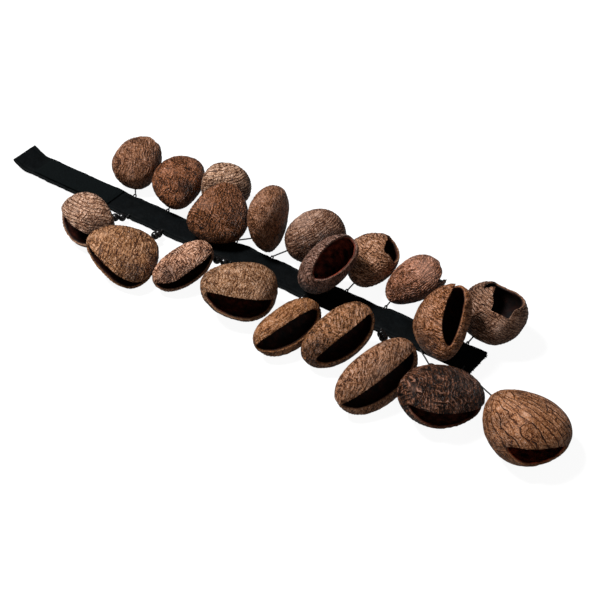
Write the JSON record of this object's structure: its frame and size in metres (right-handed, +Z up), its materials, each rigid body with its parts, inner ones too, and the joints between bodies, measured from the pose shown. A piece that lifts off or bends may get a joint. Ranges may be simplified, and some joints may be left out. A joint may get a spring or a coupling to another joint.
{
  "type": "foot rattle",
  "caption": "Black cloth ankle strap with hollow open seed shells tied along both edges on short beaded cords, which knock together and rattle as the foot moves.",
  "frame": {"origin": "middle of the strap in length and width, on the flat underside of its cloth", "axes": "+X along the strap away from its bare tail, +Y to its far edge in the picture, +Z up out of its outer face"},
  "size_m": [0.4071, 0.1286, 0.046],
  "materials": {
    "strap_cloth": "matte black woven cotton, edges top-stitched",
    "fastening_tape": "matte black hook and loop tape",
    "tie_cord": "black waxed thread",
    "bead": "polished black round bead",
    "seed_shell_pale": "pale pinkish tan seed coat, satin",
    "seed_shell_tan": "mottled tan seed coat, satin",
    "seed_shell_warm": "golden brown seed coat, satin",
    "seed_shell_brown": "brown ridged seed coat, satin",
    "seed_shell_grey": "grey brown ridged seed coat, matte",
    "seed_shell_charred": "charcoal brown seed coat with lighter veins, matte"
  },
  "bodies": {
    "strap": {"strap_band": "strap_cloth", "tail_loop_tape": "fastening_tape", "end_hook_tape": "fastening_tape"},
    "rattle_near_01": {"seed_shell_near_01": "seed_shell_pale", "tie_cord_near_01": "tie_cord"},
    "rattle_near_02": {"seed_shell_near_02": "seed_shell_tan", "tie_cord_near_02": "tie_cord"},
    "rattle_near_03": {"seed_shell_near_03": "seed_shell_brown", "tie_cord_near_03": "tie_cord"},
    "rattle_near_04": {"seed_shell_near_04": "seed_shell_tan", "tie_cord_near_04": "tie_cord"},
    "rattle_near_05": {"seed_shell_near_05": "seed_shell_tan", "tie_cord_near_05": "tie_cord"},
    "rattle_near_06": {"seed_shell_near_06": "seed_shell_warm", "tie_cord_near_06": "tie_cord"},
    "rattle_near_07": {"seed_shell_near_07": "seed_shell_tan", "tie_cord_near_07": "tie_cord"},
    "rattle_near_08": {"seed_shell_near_08": "seed_shell_brown", "tie_cord_near_08": "tie_cord"},
    "rattle_near_09": {"seed_shell_near_09": "seed_shell_charred", "tie_cord_near_09": "tie_cord"},
    "rattle_near_10": {"seed_shell_near_10": "seed_shell_warm", "tie_cord_near_10": "tie_cord"},
    "rattle_far_01": {"seed_shell_far_01": "seed_shell_brown", "tie_cord_far_01": "tie_cord"},
    "rattle_far_02": {"seed_shell_far_02": "seed_shell_brown", "tie_cord_far_02": "tie_cord"},
    "rattle_far_03": {"seed_shell_far_03": "seed_shell_brown", "tie_cord_far_03": "tie_cord"},
    "rattle_far_04": {"seed_shell_far_04": "seed_shell_grey", "tie_cord_far_04": "tie_cord"},
    "rattle_far_05": {"seed_shell_far_05": "seed_shell_grey", "tie_cord_far_05": "tie_cord"},
    "rattle_far_06": {"seed_shell_far_06": "seed_shell_brown", "tie_cord_far_06": "tie_cord"},
    "rattle_far_07": {"seed_shell_far_07": "seed_shell_grey", "tie_cord_far_07": "tie_cord"},
    "rattle_far_08": {"seed_shell_far_08": "seed_shell_brown", "tie_cord_far_08": "tie_cord"},
    "rattle_far_09": {"seed_shell_far_09": "seed_shell_warm", "tie_cord_far_09": "tie_cord"},
    "rattle_far_10": {"seed_shell_far_10": "seed_shell_grey", "tie_cord_far_10": "tie_cord"},
    "beads_near_01": {"bead_near_01_strap_side": "bead", "bead_near_01_shell_side": "bead"},
    "beads_near_02": {"bead_near_02_strap_side": "bead", "bead_near_02_shell_side": "bead"},
    "beads_near_04": {"bead_near_04_strap_side": "bead", "bead_near_04_shell_side": "bead"},
    "beads_near_05": {"bead_near_05_strap_side": "bead", "bead_near_05_shell_side": "bead"},
    "beads_near_06": {"bead_near_06_strap_side": "bead", "bead_near_06_shell_side": "bead"},
    "beads_near_07": {"bead_near_07_strap_side": "bead", "bead_near_07_shell_side": "bead"},
    "beads_near_08": {"bead_near_08_strap_side": "bead", "bead_near_08_shell_side": "bead"},
    "beads_near_09": {"bead_near_09_strap_side": "bead", "bead_near_09_shell_side": "bead"}
  },
  "joints": [
    {"name": "swing_near_01", "type": "hinge", "parent": "strap", "child": "rattle_near_01", "pos_m": [-0.072, -0.0091, 0.00179], "axis": [-1, 0, 0], "range_deg": [-60, 60]},
    {"name": "swing_near_02", "type": "hinge", "parent": "strap", "child": "rattle_near_02", "pos_m": [-0.0458, -0.0091, 0.00179], "axis": [-1, 0, 0], "range_deg": [-60, 60]},
    {"name": "swing_near_03", "type": "hinge", "parent": "strap", "child": "rattle_near_03", "pos_m": [-0.0196, -0.0091, 0.00179], "axis": [-1, 0, 0], "range_deg": [-45, 0]},
    {"name": "swing_near_04", "type": "hinge", "parent": "strap", "child": "rattle_near_04", "pos_m": [0.0066, -0.0091, 0.00179], "axis": [-1, 0, 0], "range_deg": [-60, 30]},
    {"name": "swing_near_05", "type": "hinge", "parent": "strap", "child": "rattle_near_05", "pos_m": [0.0328, -0.0091, 0.00179], "axis": [-1, 0, 0], "range_deg": [-60, 54]},
    {"name": "swing_near_06", "type": "hinge", "parent": "strap", "child": "rattle_near_06", "pos_m": [0.059, -0.0091, 0.00179], "axis": [-1, 0, 0], "range_deg": [-60, 16]},
    {"name": "swing_near_07", "type": "hinge", "parent": "strap", "child": "rattle_near_07", "pos_m": [0.0852, -0.0091, 0.00179], "axis": [-1, 0, 0], "range_deg": [-60, 40]},
    {"name": "swing_near_08", "type": "hinge", "parent": "strap", "child": "rattle_near_08", "pos_m": [0.1114, -0.0091, 0.0031], "axis": [-1, 0, 0], "range_deg": [-60, 20]},
    {"name": "swing_near_09", "type": "hinge", "parent": "strap", "child": "rattle_near_09", "pos_m": [0.1376, -0.0091, 0.0031], "axis": [-1, 0, 0], "range_deg": [-60, 5]},
    {"name": "swing_near_10", "type": "hinge", "parent": "strap", "child": "rattle_near_10", "pos_m": [0.1638, -0.0091, 0.0031], "axis": [-1, 0, 0], "range_deg": [-60, 60]},
    {"name": "swing_far_01", "type": "hinge", "parent": "strap", "child": "rattle_far_01", "pos_m": [-0.083, 0.0091, 0.00179], "axis": [1, 0, 0], "range_deg": [-60, 36]},
    {"name": "swing_far_02", "type": "hinge", "parent": "strap", "child": "rattle_far_02", "pos_m": [-0.0565, 0.0091, 0.00179], "axis": [1, 0, 0], "range_deg": [-60, 54]},
    {"name": "swing_far_03", "type": "hinge", "parent": "strap", "child": "rattle_far_03", "pos_m": [-0.03, 0.0091, 0.00179], "axis": [1, 0, 0], "range_deg": [-60, 4]},
    {"name": "swing_far_04", "type": "hinge", "parent": "strap", "child": "rattle_far_04", "pos_m": [-0.0035, 0.0091, 0.00179], "axis": [1, 0, 0], "range_deg": [-60, 42]},
    {"name": "swing_far_05", "type": "hinge", "parent": "strap", "child": "rattle_far_05", "pos_m": [0.023, 0.0091, 0.00179], "axis": [1, 0, 0], "range_deg": [-60, 12]},
    {"name": "swing_far_06", "type": "hinge", "parent": "strap", "child": "rattle_far_06", "pos_m": [0.0495, 0.0091, 0.00179], "axis": [1, 0, 0], "range_deg": [-12, 0]},
    {"name": "swing_far_07", "type": "hinge", "parent": "strap", "child": "rattle_far_07", "pos_m": [0.076, 0.0091, 0.00179], "axis": [1, 0, 0], "range_deg": [-60, 10]},
    {"name": "swing_far_08", "type": "hinge", "parent": "strap", "child": "rattle_far_08", "pos_m": [0.1025, 0.0091, 0.00273], "axis": [1, 0, 0], "range_deg": [-60, 24]},
    {"name": "swing_far_09", "type": "hinge", "parent": "strap", "child": "rattle_far_09", "pos_m": [0.129, 0.0091, 0.0031], "axis": [1, 0, 0], "range_deg": [-24, 0]},
    {"name": "swing_far_10", "type": "hinge", "parent": "strap", "child": "rattle_far_10", "pos_m": [0.1555, 0.0091, 0.0031], "axis": [1, 0, 0], "range_deg": [-60, 24]},
    {"name": "slide_beads_near_01", "type": "slide", "parent": "rattle_near_01", "child": "beads_near_01", "axis": [-0.2527, -0.8785, 0.4055], "range_m": [0, 0.0028]},
    {"name": "slide_beads_near_02", "type": "slide", "parent": "rattle_near_02", "child": "beads_near_02", "axis": [0.2978, -0.8601, 0.4141], "range_m": [0, 0.0092]},
    {"name": "slide_beads_near_04", "type": "slide", "parent": "rattle_near_04", "child": "beads_near_04", "axis": [-0.4165, -0.7158, 0.5605], "range_m": [0, 0.002]},
    {"name": "slide_beads_near_05", "type": "slide", "parent": "rattle_near_05", "child": "beads_near_05", "axis": [0.3888, -0.8245, 0.4112], "range_m": [0, 0.0025]},
    {"name": "slide_beads_near_06", "type": "slide", "parent": "rattle_near_06", "child": "beads_near_06", "axis": [0.5627, -0.7324, 0.3833], "range_m": [0, 0.012]},
    {"name": "slide_beads_near_07", "type": "slide", "parent": "rattle_near_07", "child": "beads_near_07", "axis": [0.6347, -0.6257, 0.4534], "range_m": [0, 0.008]},
    {"name": "slide_beads_near_08", "type": "slide", "parent": "rattle_near_08", "child": "beads_near_08", "axis": [0.6466, -0.6786, 0.3484], "range_m": [0, 0.0225]},
    {"name": "slide_beads_near_09", "type": "slide", "parent": "rattle_near_09", "child": "beads_near_09", "axis": [0.7295, -0.651, 0.2099], "range_m": [-0.014, 0.0055]}
  ]
}
